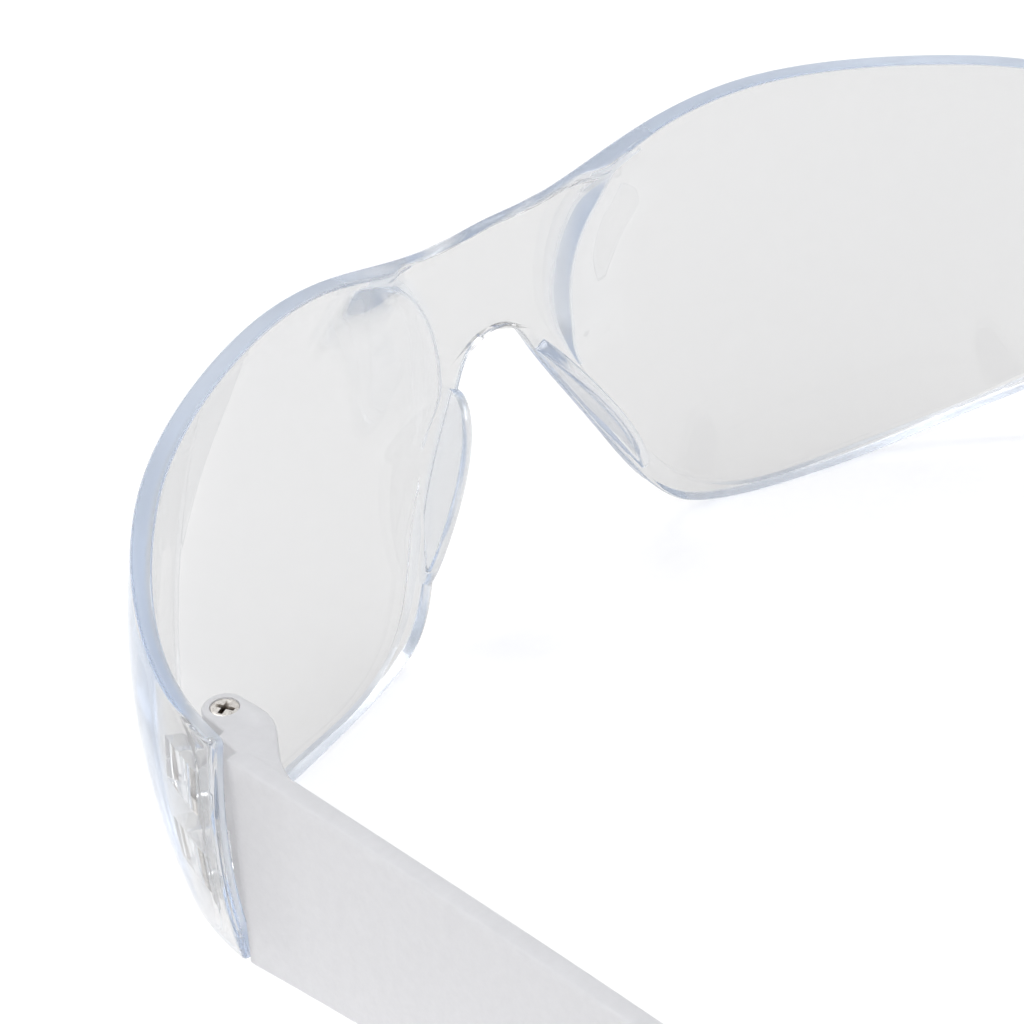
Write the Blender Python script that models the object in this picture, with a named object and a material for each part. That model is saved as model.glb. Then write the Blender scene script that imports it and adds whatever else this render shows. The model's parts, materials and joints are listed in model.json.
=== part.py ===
"""Clear wraparound safety glasses: one moulded visor and two folding temples on hinge screws.

Frame: +X is the wearer's left, -Y is forward, +Z is up, metres. The origin is at the bottom
centre of the whole object, so the visor's lower edges and the temple tips rest on z = 0.
The visor is described on its front skin by s, the distance along the skin from the middle of
the bridge, z, the height, and depth, the distance behind the skin. Its left half is computed
and the right half is its mirror image.
"""
import math

import bmesh
import bpy
import numpy as np
from mathutils import Matrix

MM = 0.001

# Plan curve of the front skin: curvature (1/mm) at the bridge, lens, cheek and wing, and the
# places along the skin (mm) where it changes.
CURVATURES = (-0.002, 0.0129, 0.0212, 0.0182)
CURVATURE_CHANGES = ((8.3, 2.5), (44.2, 5.0), (80.5, 5.0))
HALF_SKIN = 93.3            # skin length from the middle to the rear end of a wing
PROFILE_RADIUS = 67.3       # vertical bulge of the skin
PROFILE_HEIGHT = 29.1       # height at which the skin stands furthest out

# Visor thicknesses (mm).
BRIDGE_T = 1.5
SHOULDER_T = 2.8            # beside the bridge, where the lens's rim begins
RIM_T = 2.1
WING_T = 1.4
LENS_T, LENS_WING_T = 1.6, 1.1
SHOULDER_RISE = (11.0, 3.5)     # where along the skin the shoulder rises, and over what length
SHOULDER_FALL = (14.0, 10.0)
WING_THINS = (62.0, 22.0)
LENS_NOSE_EXTRA = 1.9       # the lens's back stands this much further out at its nose edge
LENS_NOSE_FADE = 11.0       # distance from that edge over which it falls to LENS_T
EDGE = 0.4                  # edge bevel
RIM_WIDTH = 1.3             # rim between the visor's edge and the lens area
WALL_WIDTH = 0.35           # width of the step between rim and lens
WALL_SHARE = 0.75           # most of the rim that the step may take

# Outline of a half visor (s, z in mm).
TOP = [(0, 41.3), (6.5, 41.1), (13, 42.1), (20.5, 44.15), (31, 45.75), (42, 45.25), (53, 44.1),
       (63.5, 43.0), (74, 40.9), (84, 39.3), (92.5, 39.1)]
BOTTOM = [(92.5, 15.0), (76, 10.6), (66, 6.6), (56, 3.3), (45.5, 0.95), (34.5, 0), (26.5, 0.3), (20, 1.8)]
NOSE_ARCH = [(20, 1.8), (16, 4.85), (12.4, 10.65), (8.6, 17.45), (4.5, 24.9), (2.6, 27.6), (0, 28.25)]
TOP_TURN = 3                # number of the point of TOP where the lens's own top edge begins
CORNER = 0.8                # corner radius at the rear end of a wing

# Edge of the lens area where it leaves the rim (s, z in mm).
LENS_NOSE = [(19.6, 4.9), (15.0, 11.4), (11.3, 18.4), (8.8, 25.0), (8.6, 30.4), (10.2, 36.0), (14.2, 40.8)]
LENS_TOP_S = (20, 30, 42, 54, 66, 76)       # places along the top and the lower rim
LENS_LOW_S = (74, 62, 50, 38, 27)
LENS_WING = [(89.4, 36.2), (90.4, 27.0), (89.4, 17.2)]
LENS_CENTRE = (40.0, 23.0)
RIM_SHARES = (0, 0.35, 0.7, 1)      # rings of points across the rim, and from there to the centre
LENS_SHARES = (0, 0.12, 0.3, 0.6, 0.85)
NOSE_PLACE = (10, 33)       # middle of the lens's thick nose edge
NOSE_REACH, NOSE_BLEND = 13.5, 7.5          # its thickness ends this far away, over this stretch

# Nose pads: curved flanges moulded on the arch legs.
PAD_FROM, PAD_TO = 0.205, 0.775     # stretch of the arch leg that carries the pad, from its top
PAD_ROOT, PAD_DEPTH, PAD_T = 1.6, 4.8, 1.5
PAD_FLARE = (0.05, 0.9)     # lean of its free edge at the upper and the lower end
PAD_START, PAD_OFFSET = 1.0, 0.12   # depth of its root in the visor, distance from the arch edge
PAD_EDGE = 0.4              # bevel of its free edge
PAD_SWELL = (0.01, 0.94)    # part of a half wave that its depth follows from end to end
PAD_SKEW, PAD_FULLNESS = 0.8, 0.6   # below 1: fullest nearer the upper end, and blunter ends
LEG_END = (-0.92, 0.39)     # direction (s, z) in which the lower edge turns into the arch leg

# Hinges.
AXIS_X, AXIS_Y = 63.9, 41.1
KNUCKLE_R = 2.0
BLOCK_TOP, BLOCK_BOTTOM = 37.5, 17.6
LUGS = ((29.6, 34.2), (21.0, 25.6))     # height ranges of the visor's two lugs on each side
GAP = 0.3
BORE_R = 1.2
SCREW_R = 0.9
SCREW_HEAD_R, SCREW_HEAD_H = 1.28, 0.75
COUNTERBORE_R, COUNTERBORE_DEPTH = 1.58, 1.2
HEAD_SUNK = 0.05            # top of the screw head below the top of the block
SCREW_TIP, TIP_TAPER = 18.4, 0.3
HEAD_ROUNDING = 0.12
CROSS_ARM, CROSS_HALF, CROSS_DEPTH = 0.85, 0.17, 0.5    # recess for a cross-head driver
CROSS_TURN = math.radians(25)
LUG_ROOT_DEPTH = 0.8        # how far below the wing's outer skin a lug's root ends
LUG_ROOT = (83.5, 90.0)     # stretch of the wing that carries the lugs

# Temples: side outline as (t, z), t from the front shoulder backwards, and the plan path.
TEMPLE_FRONT_Y = 46.7
TEMPLE_FRONT_X = 67.25
TEMPLE_T = 2.1
TEMPLE_YAW = math.radians(1.0)
TEMPLE_STRAIGHT = 50.0
TEMPLE_BEND_R = 330.0
TEMPLE_TOP = [(0, 37.5), (25, 37.9), (50, 38.0), (64, 37.2), (77, 34.2), (90, 28.8), (100.5, 21.8),
              (107.6, 14.2), (111.2, 7.2), (109.6, 1.4)]
TEMPLE_BOTTOM = [(0, 15.05), (15, 16.9), (35, 18.7), (54, 19.6), (68, 18.0), (80, 13.2), (90, 6.6),
                 (99.0, 0.0)]
TEMPLE_TIP = 7              # number of the point of TEMPLE_TOP where the rounded tip begins
REST_END = 107.6            # rear end of the flat stretch under the tip, which rests at z = 0
BLADE_EDGE = 0.35
CENTRE_Y = 78.81            # middle of the overall length, front of the visor to the temple tips

# Hinge block (x, y): its inner outline from the knuckle to the blade, and its outer one back again.
BLOCK_INNER = [(61.9, 41.1), (61.8, 44.2), (62.2, 45.8), (63.1, 47.3), (64.4, 49.1), (65.5, 51.1),
               (66.3, 53.4)]
BLOCK_OUTER = [(67.0, 53.6), (67.1, 47.4), (66.9, 43.9), (66.0, 43.6)]
SLOT_IN, SLOT_OUT = 5.0, 3.4    # reach of a lug slot on both sides of the hinge axis
SLOT_CLEAR = 0.4            # between a lug's round end and the back of its slot
CUT = 1.0                   # how far a cutter stands out of what it cuts

SIDES = (("left", 1), ("right", -1))


# ---------------------------------------------------------------- curves

def smooth_curve(points, closed=False, start=None, end=None):
    """Tangents of a smooth cubic through the points; free ends unless a direction is given."""
    p = np.array(points, float)
    if closed:
        p = np.vstack([p, p[:1]])
    chord = np.linalg.norm(np.diff(p, axis=0), axis=1)
    n = len(p)
    a = np.zeros((n, n))
    rhs = np.zeros_like(p)
    for i in range(1, n - 1):
        a[i, i - 1:i + 2] = chord[i], 2 * (chord[i - 1] + chord[i]), chord[i - 1]
        rhs[i] = 3 * (chord[i] * (p[i] - p[i - 1]) / chord[i - 1]
                      + chord[i - 1] * (p[i + 1] - p[i]) / chord[i])
    if closed:
        a[0, 0], a[0, -1] = 1, -1
        a[-1, 0:2] = 2 * chord[-1], chord[-1]
        a[-1, -2:] = a[-1, -2:] + (chord[0], 2 * chord[0])
        rhs[-1] = 3 * (chord[-1] * (p[1] - p[0]) / chord[0] + chord[0] * (p[-1] - p[-2]) / chord[-1])
    else:
        a[0, 0:2] = (2, 1) if start is None else (1, 0)
        rhs[0] = 3 * (p[1] - p[0]) / chord[0] if start is None else start
        a[-1, -2:] = (1, 2) if end is None else (0, 1)
        rhs[-1] = 3 * (p[-1] - p[-2]) / chord[-1] if end is None else end
    return p, np.linalg.solve(a, rhs), chord


def sample(curve, first, last, count):
    """Points evenly along the curve between two of its given points, by their numbers."""
    p, tangent, chord = curve
    knots = np.concatenate([[0], np.cumsum(chord)])
    out = []
    for u in np.linspace(knots[first], knots[last], count):
        i = min(max(int(np.searchsorted(knots, u, side="right")) - 1, 0), len(chord) - 1)
        h = chord[i]
        f = (u - knots[i]) / h
        out.append((2 * f**3 - 3 * f**2 + 1) * p[i] + (f**3 - 2 * f**2 + f) * h * tangent[i]
                   + (3 * f**2 - 2 * f**3) * p[i + 1] + (f**3 - f**2) * h * tangent[i + 1])
    return np.array(out)


def whole(points, count, **ends):
    return sample(smooth_curve(points, **ends), 0, len(points) - 1, count)


def ease(x):
    x = np.clip(x, 0, 1)
    return x * x * (3 - 2 * x)


def plan_curve(steps=2000):
    """Places and heading along the front skin, from its curvature."""
    s = np.linspace(0, HALF_SKIN + 8, steps)
    curvature = np.full(steps, CURVATURES[0])
    for (place, width), before, after in zip(CURVATURE_CHANGES, CURVATURES, CURVATURES[1:]):
        curvature += (after - before) * 0.5 * (1 + np.tanh((s - place) / width))
    ds = s[1] - s[0]
    heading = np.concatenate([[0], np.cumsum((curvature[1:] + curvature[:-1]) / 2 * ds)])
    middle = (heading[1:] + heading[:-1]) / 2
    x = np.concatenate([[0], np.cumsum(np.cos(middle) * ds)])
    y = np.concatenate([[0], np.cumsum(np.sin(middle) * ds)])
    return s, x, y, heading


PLAN = plan_curve()


def skin(s, z, depth):
    """World points (mm) at distance s along the left half, height z, depth behind the skin."""
    s, z, depth = np.broadcast_arrays(np.asarray(s, float), z, depth)
    x = np.interp(s, PLAN[0], PLAN[1])
    y = np.interp(s, PLAN[0], PLAN[2])
    heading = np.interp(s, PLAN[0], PLAN[3])
    inward = (z - PROFILE_HEIGHT)**2 / (2 * PROFILE_RADIUS) + depth
    return np.stack([x - np.sin(heading) * inward, y + np.cos(heading) * inward, z], -1)


# ---------------------------------------------------------------- mesh helpers

def to_world(points):
    """Millimetres in the visor's layout to metres about the object's origin."""
    return (np.asarray(points) - (0, CENTRE_Y, 0)) * MM


def mesh_object(name, points, faces, side=1):
    """One closed mesh from points in mm, mirrored to the other side when side is -1."""
    points = to_world(points) * (side, 1, 1)
    mesh = bpy.data.meshes.new(name)
    mesh.from_pydata(points.tolist(), [], [list(f) for f in faces])
    bm = bmesh.new()
    bm.from_mesh(mesh)
    bmesh.ops.remove_doubles(bm, verts=bm.verts, dist=1e-7)
    bmesh.ops.recalc_face_normals(bm, faces=bm.faces)
    bm.to_mesh(mesh)
    bm.free()
    obj = bpy.data.objects.new(name, mesh)
    bpy.context.collection.objects.link(obj)
    return obj


def strip(a, b, closed):
    """Quads between two equally long rows of vertex numbers."""
    count = len(a)
    last = count if closed else count - 1
    return [(a[i], a[(i + 1) % count], b[(i + 1) % count], b[i]) for i in range(last)]


def prism(name, outline, low, high, side=1):
    """A plan outline in mm, extruded between two heights."""
    n = len(outline)
    points = [(x, y, z) for z in (low, high) for x, y in outline]
    faces = strip(range(n), range(n, 2 * n), True) + [range(n), range(n, 2 * n)]
    return mesh_object(name, points, faces, side)


def circle(radius, count=24, start=0.0, turn=2 * math.pi):
    full = abs(turn - 2 * math.pi) < 1e-6
    steps = count if full else count - 1
    angles = [start + turn * i / steps for i in range(count)]
    return [(AXIS_X + radius * math.cos(a), AXIS_Y + radius * math.sin(a)) for a in angles]


def boolean(target, tool, operation):
    """Apply one exact Boolean and remove the tool."""
    modifier = target.modifiers.new(operation.lower(), "BOOLEAN")
    modifier.operation = operation
    modifier.solver = "EXACT"
    modifier.object = tool
    graph = bpy.context.evaluated_depsgraph_get()
    mesh = bpy.data.meshes.new_from_object(target.evaluated_get(graph))
    target.modifiers.remove(modifier)
    target.data = mesh
    bpy.data.objects.remove(tool)


def material(name, colour, roughness, metallic=0.0, transmission=0.0, ior=1.5):
    mat = bpy.data.materials.new(name)
    mat.use_nodes = True
    shader = mat.node_tree.nodes["Principled BSDF"]
    shader.inputs["Base Color"].default_value = (*colour, 1)
    shader.inputs["Roughness"].default_value = roughness
    shader.inputs["Metallic"].default_value = metallic
    shader.inputs["Transmission Weight"].default_value = transmission
    shader.inputs["IOR"].default_value = ior
    return mat


# ---------------------------------------------------------------- visor

def change(s, stretch):
    """Share of a change that begins at a place along the skin and takes a given length."""
    begin, length = stretch
    return ease((s - begin) / length)


def rim_thickness(s):
    """Thin at the bridge, thickest beside it, thinner again towards the wing."""
    rise, fall = change(s, SHOULDER_RISE), change(s, SHOULDER_FALL)
    nose = BRIDGE_T + (SHOULDER_T - BRIDGE_T) * rise + (RIM_T - SHOULDER_T) * fall
    return nose + (WING_T - RIM_T) * change(s, WING_THINS)


def lens_thickness(s):
    return LENS_T + (LENS_WING_T - LENS_T) * change(s, WING_THINS)


def half_outline():
    """Outline of the left half from the top centre round to the arch, and its inward normals."""
    curve = smooth_curve(TOP, start=(1, 0))
    top_nose = sample(curve, 0, TOP_TURN, 8)
    top = sample(curve, TOP_TURN, len(TOP) - 1, 20)
    bottom = whole(BOTTOM, 20, end=LEG_END)
    leg = whole(NOSE_ARCH, 18, start=LEG_END, end=(-1, 0))
    rear = []
    for height, start in ((TOP[-1][1] - CORNER, 90), (BOTTOM[0][1] + CORNER, 0)):
        for angle in np.radians(np.linspace(start, start - 90, 4)):
            rear.append((HALF_SKIN - CORNER + CORNER * math.cos(angle), height + CORNER * math.sin(angle)))
    between = np.linspace(rear[3], rear[4], 5)[1:-1]
    outline = np.vstack([top_nose[:-1], top[:-1], rear[:4], between, rear[4:], bottom[1:], leg[1:]])
    tangent = np.gradient(outline, axis=0)
    tangent[0], tangent[-1] = (1, 0), (-1, 0)
    tangent /= np.linalg.norm(tangent, axis=1)[:, None]
    normal = np.stack([tangent[:, 1], -tangent[:, 0]], -1)
    counts = (len(top_nose) - 1, len(top) - 1, len(rear) + len(between) - 1, len(bottom) - 1, len(leg) - 1)
    return outline, normal, counts


def lens_edge(outline, counts, seam):
    """Closed edge of the lens area, with as many points as the outline and the seam."""
    ends = np.cumsum(counts)
    top_rim = [(s, np.interp(s, *outline[:ends[1]].T) - RIM_WIDTH) for s in LENS_TOP_S]
    low = outline[ends[2]:ends[3] + 1][::-1]
    low_rim = [(s, np.interp(s, *low.T) + RIM_WIDTH) for s in LENS_LOW_S]
    points = [LENS_NOSE[-1]] + top_rim + LENS_WING + low_rim + LENS_NOSE[:-1]
    curve = smooth_curve(points, closed=True)
    stops = (0, 1, 7, 9, 15, 18, 21)
    pieces = [sample(curve, a, b, n + 1)[:-1] for a, b, n in zip(stops, stops[1:], (*counts, seam + 1))]
    return np.vstack(pieces)


def shell_rings(outline, normal, counts):
    """Rings from the visor's edge to the lens centre, each with the depth of the visor's back."""
    seam_count = 5
    edge = lens_edge(outline, counts, seam_count)
    inset = outline + EDGE * normal
    seam = np.linspace(inset[-1], inset[0], seam_count + 2)[1:-1]
    loop = np.vstack([inset, seam])
    nose = ease((NOSE_REACH - np.linalg.norm(edge - NOSE_PLACE, axis=1)) / NOSE_BLEND)
    across = np.linalg.norm(loop - edge, axis=1)
    rim_edge = edge + (loop - edge) * np.minimum(WALL_SHARE, WALL_WIDTH / across)[:, None]
    rings = []
    for f in RIM_SHARES:
        ring = loop + (rim_edge - loop) * f
        rings.append((ring, rim_thickness(ring[:, 0])))
    reach = np.linalg.norm(np.array(LENS_CENTRE) - edge, axis=1)
    for f in LENS_SHARES:
        ring = edge + (np.array(LENS_CENTRE) - edge) * f
        extra = LENS_NOSE_EXTRA * nose * (1 - ease(reach * f / LENS_NOSE_FADE))
        rings.append((ring, lens_thickness(ring[:, 0]) + extra))
    return rings


def half_shell():
    """Points and faces of the left half of the visor's shell, open along the middle."""
    outline, normal, counts = half_outline()
    points, faces, layers = [], [], []
    for back in (False, True):
        rows = []
        for ring, depth in shell_rings(outline, normal, counts):
            rows.append(range(len(points), len(points) + len(ring)))
            points.extend(skin(ring[:, 0], ring[:, 1], depth if back else 0))
        for a, b in zip(rows, rows[1:]):
            faces += strip(a, b, True)
        points.append(skin(*LENS_CENTRE, LENS_T if back else 0))
        centre = len(points) - 1
        last = rows[-1]
        faces += [(last[i], last[(i + 1) % len(last)], centre) for i in range(len(last))]
        layers.append(rows[0][:len(outline)])
    thick = rim_thickness(outline[:, 0])
    rows = [layers[0]]
    for depth in (EDGE, thick - EDGE):
        rows.append(range(len(points), len(points) + len(outline)))
        points.extend(skin(outline[:, 0], outline[:, 1], depth))
    rows.append(layers[1])
    for a, b in zip(rows, rows[1:]):
        faces += strip(a, b, False)
    return np.array(points), faces


def visor_shell():
    points, faces = half_shell()
    mirrored = points * (-1, 1, 1)
    count = len(points)
    faces = faces + [tuple(i + count for i in reversed(face)) for face in faces]
    return mesh_object("visor", np.vstack([points, mirrored]), faces)


def nose_pad(side):
    """Flange behind an arch leg: rooted in the visor and flaring away from the nose."""
    leg_points, stations = 60, 16
    leg = whole(NOSE_ARCH, leg_points, start=LEG_END, end=(-1, 0))[::-1]
    stretch = leg[int(PAD_FROM * leg_points):int(PAD_TO * leg_points)]
    run = np.concatenate([[0], np.cumsum(np.linalg.norm(np.diff(stretch, axis=0), axis=1))])
    tangent = np.gradient(stretch, axis=0)
    tangent /= np.linalg.norm(tangent, axis=1)[:, None]
    to_lens = np.stack([-tangent[:, 1], tangent[:, 0]], -1)
    points, rows = [], []
    for u in (1 - np.cos(np.linspace(0, math.pi, stations))) / 2:
        at = u * run[-1]
        place = np.array([np.interp(at, run, stretch[:, i]) for i in (0, 1)])
        inward = np.array([np.interp(at, run, to_lens[:, i]) for i in (0, 1)])
        swell = math.sin(math.pi * np.interp(u**PAD_SKEW, (0, 1), PAD_SWELL))
        depth = PAD_ROOT + PAD_DEPTH * swell**PAD_FULLNESS
        low, high = PAD_OFFSET, PAD_T
        section = ((low, PAD_START), (low, depth - PAD_EDGE), (low + PAD_EDGE, depth),
                   (high - PAD_EDGE, depth), (high, depth - PAD_EDGE), (high, PAD_START))
        rows.append(range(len(points), len(points) + len(section)))
        for across, back in section:
            flare = np.interp(u, (0, 1), PAD_FLARE) * (back - PAD_START) / PAD_DEPTH
            s, z = place + inward * (across + flare)
            points.append(skin(s, z, back))
    faces = [face for a, b in zip(rows, rows[1:]) for face in strip(a, b, True)]
    faces += [rows[0], rows[-1]]
    return mesh_object("nose_pad", points, faces, side)


def hinge_lug(low, high, side):
    """Lug from the wing's inside to the hinge axis, round about the axis."""
    middle = (low + high) / 2
    outline = circle(KNUCKLE_R, 14, math.radians(90), math.radians(180))
    root = [skin(s, middle, LUG_ROOT_DEPTH)[:2] for s in np.linspace(*LUG_ROOT, 4)]
    outline = outline + [tuple(p) for p in root]
    return prism("lug", outline, low, high, side)


def build_visor(mat):
    visor = visor_shell()
    for _, side in SIDES:
        boolean(visor, nose_pad(side), "UNION")
        for low, high in LUGS:
            boolean(visor, hinge_lug(low, high, side), "UNION")
        boolean(visor, prism("bore", circle(BORE_R), LUGS[1][0] - CUT, LUGS[0][1] + CUT, side), "DIFFERENCE")
    visor.data.materials.append(mat)
    return visor


# ---------------------------------------------------------------- temples

def temple_path(t, across):
    """Plan place at distance t behind the shoulder, across the blade towards the outside."""
    bend = np.maximum(t - TEMPLE_STRAIGHT, 0)
    heading = TEMPLE_YAW + bend / TEMPLE_BEND_R
    x = TEMPLE_FRONT_X - t * math.sin(TEMPLE_YAW) - bend**2 / (2 * TEMPLE_BEND_R)
    y = TEMPLE_FRONT_Y + t * math.cos(TEMPLE_YAW) - bend**3 / (6 * TEMPLE_BEND_R**2)
    return x + across * np.cos(heading), y + across * np.sin(heading)


def blade(side):
    """Blade lofted from the shoulder to the rounded tip."""
    stations, tip_stations = 26, 8
    curve = smooth_curve(TEMPLE_TOP)
    tip = sample(curve, TEMPLE_TIP, len(TEMPLE_TOP) - 1, tip_stations)
    top = np.vstack([sample(curve, 0, TEMPLE_TIP, stations), tip[1:]])
    rest = np.linspace(TEMPLE_BOTTOM[-1], (REST_END, 0), tip_stations)
    low = np.vstack([whole(TEMPLE_BOTTOM, stations), rest[1:]])
    rows, points = [], []
    half = TEMPLE_T / 2
    for (t1, z1), (t0, z0) in zip(top, low):
        length = math.hypot(t1 - t0, z1 - z0)
        section = []
        for across, along in ((half - BLADE_EDGE, 0), (half, BLADE_EDGE), (half, length - BLADE_EDGE),
                              (half - BLADE_EDGE, length), (BLADE_EDGE - half, length),
                              (-half, length - BLADE_EDGE), (-half, BLADE_EDGE), (BLADE_EDGE - half, 0)):
            f = along / length
            t = t0 + (t1 - t0) * f
            x, y = temple_path(t, across)
            section.append((x, y, z0 + (z1 - z0) * f))
        rows.append(range(len(points), len(points) + len(section)))
        points.extend(section)
    faces = [face for a, b in zip(rows, rows[1:]) for face in strip(a, b, True)]
    faces += [rows[0], rows[-1]]
    return mesh_object("blade", points, faces, side)


def hinge_block(side):
    """Inboard block: knuckle round the axis, and a swept fillet into the blade."""
    inner = whole(BLOCK_INNER, 12, start=(0, 1))
    knuckle = circle(KNUCKLE_R, 16, 0.0, -math.pi)
    outline = knuckle[:-1] + [tuple(p) for p in inner] + BLOCK_OUTER
    return prism("block", outline, BLOCK_BOTTOM, BLOCK_TOP, side)


def build_temple(name, side, mat):
    temple = blade(side)
    boolean(temple, hinge_block(side), "UNION")
    inner, outer, front = AXIS_X - SLOT_IN, AXIS_X + SLOT_OUT, AXIS_Y - SLOT_IN
    back = AXIS_Y + KNUCKLE_R + SLOT_CLEAR
    for low, high in LUGS:
        slot = [(inner, front), (outer, front), (outer, back), (inner, back)]
        boolean(temple, prism("slot", slot, low - GAP, high + GAP, side), "DIFFERENCE")
    bore = prism("bore", circle(BORE_R), BLOCK_BOTTOM - CUT, BLOCK_TOP + CUT, side)
    boolean(temple, bore, "DIFFERENCE")
    counterbore = prism("counterbore", circle(COUNTERBORE_R), BLOCK_TOP - COUNTERBORE_DEPTH,
                        BLOCK_TOP + CUT, side)
    boolean(temple, counterbore, "DIFFERENCE")
    temple.name = name
    temple.data.materials.append(mat)
    return temple


# ---------------------------------------------------------------- screws

def build_screw(name, side, mat):
    """Cross-recess screw: domed head, shank and tip, turned about the hinge axis."""
    top = BLOCK_TOP - HEAD_SUNK
    under = top - SCREW_HEAD_H
    profile = [(0, SCREW_TIP), (SCREW_R - TIP_TAPER, SCREW_TIP), (SCREW_R, SCREW_TIP + TIP_TAPER),
               (SCREW_R, under), (SCREW_HEAD_R, under), (SCREW_HEAD_R, top - HEAD_ROUNDING),
               (SCREW_HEAD_R - HEAD_ROUNDING, top), (0, top)]
    points, rows = [], []
    for radius, z in profile:
        ring = circle(radius) if radius else [(AXIS_X, AXIS_Y)]
        rows.append(range(len(points), len(points) + len(ring)))
        points.extend((x, y, z) for x, y in ring)
    faces = []
    for a, b in zip(rows[1:-1], rows[2:-1]):
        faces += strip(a, b, True)
    count = len(rows[1])
    faces += [(rows[0][0], rows[1][i], rows[1][(i + 1) % count]) for i in range(count)]
    faces += [(rows[-1][0], rows[-2][i], rows[-2][(i + 1) % count]) for i in range(count)]
    screw = mesh_object(name, points, faces, side)
    arm, half = CROSS_ARM, CROSS_HALF
    cross = [(arm, -half), (arm, half), (half, half), (half, arm), (-half, arm), (-half, half),
             (-arm, half), (-arm, -half), (-half, -half), (-half, -arm), (half, -arm), (half, -half)]
    cos, sin = math.cos(CROSS_TURN), math.sin(CROSS_TURN)
    cross = [(AXIS_X + x * cos - y * sin, AXIS_Y + x * sin + y * cos) for x, y in cross]
    boolean(screw, prism("cross", cross, top - CROSS_DEPTH, top + CUT, side), "DIFFERENCE")
    screw.data.materials.append(mat)
    return screw


def put_on_axis(obj, side):
    """Move the object's origin to its hinge axis without moving its mesh."""
    place = to_world((AXIS_X, AXIS_Y, BLOCK_TOP)) * (side, 1, 1)
    obj.data.transform(Matrix.Translation(-place))
    obj.location = place


def main():
    for obj in list(bpy.data.objects):
        bpy.data.objects.remove(obj)
    clear = material("clear_polycarbonate", (0.93, 0.95, 0.97), 0.03, transmission=1.0, ior=1.586)
    frosted = material("frosted_polycarbonate", (0.86, 0.87, 0.89), 0.45, transmission=0.6, ior=1.586)
    steel = material("screw_steel", (0.62, 0.58, 0.54), 0.3, metallic=1.0)
    build_visor(clear)
    for label, side in SIDES:
        put_on_axis(build_temple(f"temple_{label}", side, frosted), side)
        put_on_axis(build_screw(f"hinge_screw_{label}", side, steel), side)


main()
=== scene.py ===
"""Looks of the clear wraparound safety glasses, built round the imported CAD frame.

Lengths are millimetres until to_world() turns them into metres about the frame's origin. The
visor is described on its front skin, as in the CAD part: s is the distance along the skin from
the middle of the bridge, z the height, and depth the distance behind the skin.
"""
import json
import math

import bmesh
import bpy
import numpy as np
from mathutils import Matrix, Vector
from mathutils.kdtree import KDTree


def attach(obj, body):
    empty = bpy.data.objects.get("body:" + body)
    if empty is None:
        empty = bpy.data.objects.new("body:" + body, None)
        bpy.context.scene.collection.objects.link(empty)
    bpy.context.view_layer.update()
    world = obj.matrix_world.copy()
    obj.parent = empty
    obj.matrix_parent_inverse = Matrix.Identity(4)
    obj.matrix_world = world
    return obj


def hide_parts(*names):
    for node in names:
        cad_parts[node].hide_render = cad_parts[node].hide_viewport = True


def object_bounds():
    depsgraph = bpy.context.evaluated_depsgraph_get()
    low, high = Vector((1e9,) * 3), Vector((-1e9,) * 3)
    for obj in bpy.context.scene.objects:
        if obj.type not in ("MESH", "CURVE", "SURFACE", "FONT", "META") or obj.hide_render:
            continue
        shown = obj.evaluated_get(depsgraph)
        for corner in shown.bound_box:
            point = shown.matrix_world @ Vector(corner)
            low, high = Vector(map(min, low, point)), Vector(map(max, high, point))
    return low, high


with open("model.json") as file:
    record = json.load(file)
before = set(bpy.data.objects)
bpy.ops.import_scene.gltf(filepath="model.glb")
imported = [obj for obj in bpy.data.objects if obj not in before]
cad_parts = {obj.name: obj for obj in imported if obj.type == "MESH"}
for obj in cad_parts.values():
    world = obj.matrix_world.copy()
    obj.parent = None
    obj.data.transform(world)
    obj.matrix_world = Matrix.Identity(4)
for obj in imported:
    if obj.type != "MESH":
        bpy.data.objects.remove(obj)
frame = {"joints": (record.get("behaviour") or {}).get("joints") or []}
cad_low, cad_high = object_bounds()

MM = 0.001
SIDES = (("left", 1), ("right", -1))

# Plan curve of the front skin: curvature (1/mm) at the bridge, lens, cheek and wing, and the
# places along the skin where it changes.
CURVATURES = (-0.002, 0.0129, 0.0212, 0.0182)
CURVATURE_CHANGES = ((8.3, 2.5), (44.2, 5.0), (80.5, 5.0))
HALF_SKIN = 93.3
PROFILE_RADIUS, PROFILE_HEIGHT = 67.3, 29.1

# Visor thicknesses.
BRIDGE_T, SHOULDER_T, RIM_T, WING_T = 1.5, 2.8, 2.1, 1.4
LENS_T, LENS_WING_T = 1.6, 1.1
SHOULDER_RISE = (11.0, 3.5)     # where along the skin the shoulder rises, and over what length
SHOULDER_FALL = (14.0, 10.0)
WING_THINS = (62.0, 22.0)
LENS_NOSE_EXTRA = 1.9       # the lens's back stands this much further out at its nose edge
LENS_NOSE_FADE = 11.0       # distance from that edge over which it falls to LENS_T
NOSE_PLACE = (10, 33)       # middle of the lens's thick nose edge
NOSE_REACH, NOSE_BLEND = 13.5, 7.5          # its thickness ends this far away, over this stretch
EDGE = 0.4
RIM_WIDTH = 1.3
WALL_MIN, WALL_NOSE = 0.3, 0.35     # width of the step between rim and lens
WALL_SHARE = 0.75           # most of the rim that the step may take

# Unpolished faces of the visor: shares of the full roughness, and where they are.
WALL_MARKED = 0.03          # height of the step at the nose from which its wall counts as unpolished
REAR_MARKED = 0.85          # at the rear end only the inner part of the edge is unpolished
NOSE_TOP, NOSE_TOP_REACH = (15.0, 41.8), 2.4    # rough end of that wall, where it meets the top rim
NOSE_MARKED = 0.5           # edges round the bridge
PAD_MARKED, LUG_MARKED = 0.3, 0.25
LUG_REACH = 3.3             # a lug's own faces are this near to the hinge axis
MARK_NEAR, MARK_FADE = 0.2, 0.25    # distance from an unpolished place within which a point is one

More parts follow.
